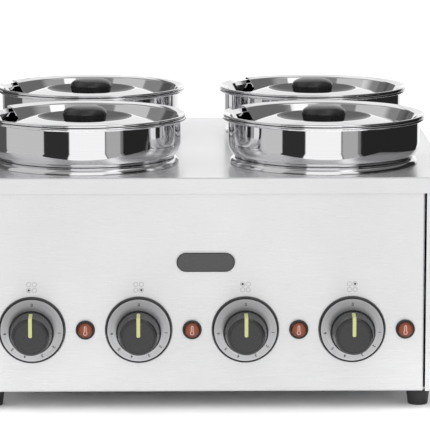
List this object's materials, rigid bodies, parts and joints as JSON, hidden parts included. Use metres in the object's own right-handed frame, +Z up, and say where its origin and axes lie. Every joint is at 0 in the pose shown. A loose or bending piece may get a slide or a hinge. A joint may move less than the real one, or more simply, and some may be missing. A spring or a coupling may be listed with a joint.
{
  "type": "four-pot bain-marie soup warmer",
  "caption": "Counter-top electric soup warmer: a brushed steel box with lift-out round lidded pots, each with its own thermostat knob and pilot lamp.",
  "frame": {"origin": "on the floor under the middle of the whole outline, control knobs and cord gland included", "axes": "+Z up, -Y towards the user at the control panel, +X to the user's right"},
  "size_m": [0.52, 0.5584, 0.3116],
  "materials": {
    "casing_steel": "fine horizontal satin brush",
    "tank_steel": "plain pressed stainless steel",
    "pot_steel": "mirror-polished stainless steel",
    "heater_alloy": "matte cast face",
    "control_plastic": "satin black moulding",
    "lid_knob_plastic": "satin black moulding",
    "dial_plastic": "black rim round a satin aluminium scale ring",
    "pointer": "yellow-green inlay",
    "amber_lens": "translucent amber-brown lens",
    "badge_plastic": "smooth dark grey with a pale edge, blank",
    "foot_rubber": "moulded rubber",
    "inner_plastic": "pale thermoset moulding",
    "label_foil": "thin satin foil, blank"
  },
  "bodies": {
    "casing": {"top_plate": "casing_steel", "front_panel": "casing_steel", "left_panel": "casing_steel", "right_panel": "casing_steel", "rear_panel": "casing_steel", "base_plate": "tank_steel", "badge": "badge_plastic", "foot_front_left": "foot_rubber", "foot_front_right": "foot_rubber", "foot_rear_left": "foot_rubber", "foot_rear_right": "foot_rubber", "cord_gland": "control_plastic", "terminal_block": "inner_plastic", "rating_plate": "label_foil", "well_front_left": "tank_steel", "heater_front_left": "heater_alloy", "dial_front_left": "dial_plastic", "thermostat_front_left": "inner_plastic", "lamp_holder_front_left": "control_plastic", "lamp_lens_front_left": "amber_lens", "well_front_right": "tank_steel", "heater_front_right": "heater_alloy", "dial_front_right": "dial_plastic", "thermostat_front_right": "inner_plastic", "lamp_holder_front_right": "control_plastic", "lamp_lens_front_right": "amber_lens", "well_rear_left": "tank_steel", "heater_rear_left": "heater_alloy", "dial_rear_left": "dial_plastic", "thermostat_rear_left": "inner_plastic", "lamp_holder_rear_left": "control_plastic", "lamp_lens_rear_left": "amber_lens", "well_rear_right": "tank_steel", "heater_rear_right": "heater_alloy", "dial_rear_right": "dial_plastic", "thermostat_rear_right": "inner_plastic", "lamp_holder_rear_right": "control_plastic", "lamp_lens_rear_right": "amber_lens"},
    "front_left_pot": {"pot_front_left": "pot_steel"},
    "front_left_lid": {"lid_front_left": "pot_steel", "lid_knob_front_left": "lid_knob_plastic"},
    "front_left_knob": {"knob_front_left": "control_plastic", "knob_pointer_front_left": "pointer"},
    "front_right_pot": {"pot_front_right": "pot_steel"},
    "front_right_lid": {"lid_front_right": "pot_steel", "lid_knob_front_right": "lid_knob_plastic"},
    "front_right_knob": {"knob_front_right": "control_plastic", "knob_pointer_front_right": "pointer"},
    "rear_left_pot": {"pot_rear_left": "pot_steel"},
    "rear_left_lid": {"lid_rear_left": "pot_steel", "lid_knob_rear_left": "lid_knob_plastic"},
    "rear_left_knob": {"knob_rear_left": "control_plastic", "knob_pointer_rear_left": "pointer"},
    "rear_right_pot": {"pot_rear_right": "pot_steel"},
    "rear_right_lid": {"lid_rear_right": "pot_steel", "lid_knob_rear_right": "lid_knob_plastic"},
    "rear_right_knob": {"knob_rear_right": "control_plastic", "knob_pointer_rear_right": "pointer"}
  },
  "joints": [
    {"name": "turn_knob_front_left", "type": "hinge", "parent": "casing", "child": "front_left_knob", "pos_m": [-0.1835, -0.23615, 0.0871], "axis": [0, 1, 0], "range_deg": [0, 265]},
    {"name": "turn_knob_front_right", "type": "hinge", "parent": "casing", "child": "front_right_knob", "pos_m": [-0.0708, -0.23615, 0.0871], "axis": [0, 1, 0], "range_deg": [0, 265]},
    {"name": "turn_knob_rear_left", "type": "hinge", "parent": "casing", "child": "rear_left_knob", "pos_m": [0.0419, -0.23615, 0.0871], "axis": [0, 1, 0], "range_deg": [0, 265]},
    {"name": "turn_knob_rear_right", "type": "hinge", "parent": "casing", "child": "rear_right_knob", "pos_m": [0.1546, -0.23615, 0.0871], "axis": [0, 1, 0], "range_deg": [0, 265]},
    {"name": "lift_pot_front_left", "type": "slide", "parent": "casing", "child": "front_left_pot", "axis": [0, 0, 1], "range_m": [0, 0.2]},
    {"name": "lift_pot_front_right", "type": "slide", "parent": "casing", "child": "front_right_pot", "axis": [0, 0, 1], "range_m": [0, 0.2]},
    {"name": "lift_pot_rear_left", "type": "slide", "parent": "casing", "child": "rear_left_pot", "axis": [0, 0, 1], "range_m": [0, 0.2]},
    {"name": "lift_pot_rear_right", "type": "slide", "parent": "casing", "child": "rear_right_pot", "axis": [0, 0, 1], "range_m": [0, 0.2]},
    {"name": "lift_lid_front_left", "type": "slide", "parent": "front_left_pot", "child": "front_left_lid", "axis": [0, 0, 1], "range_m": [0, 0.12]},
    {"name": "lift_lid_front_right", "type": "slide", "parent": "front_right_pot", "child": "front_right_lid", "axis": [0, 0, 1], "range_m": [0, 0.12]},
    {"name": "lift_lid_rear_left", "type": "slide", "parent": "rear_left_pot", "child": "rear_left_lid", "axis": [0, 0, 1], "range_m": [0, 0.12]},
    {"name": "lift_lid_rear_right", "type": "slide", "parent": "rear_right_pot", "child": "rear_right_lid", "axis": [0, 0, 1], "range_m": [0, 0.12]}
  ]
}
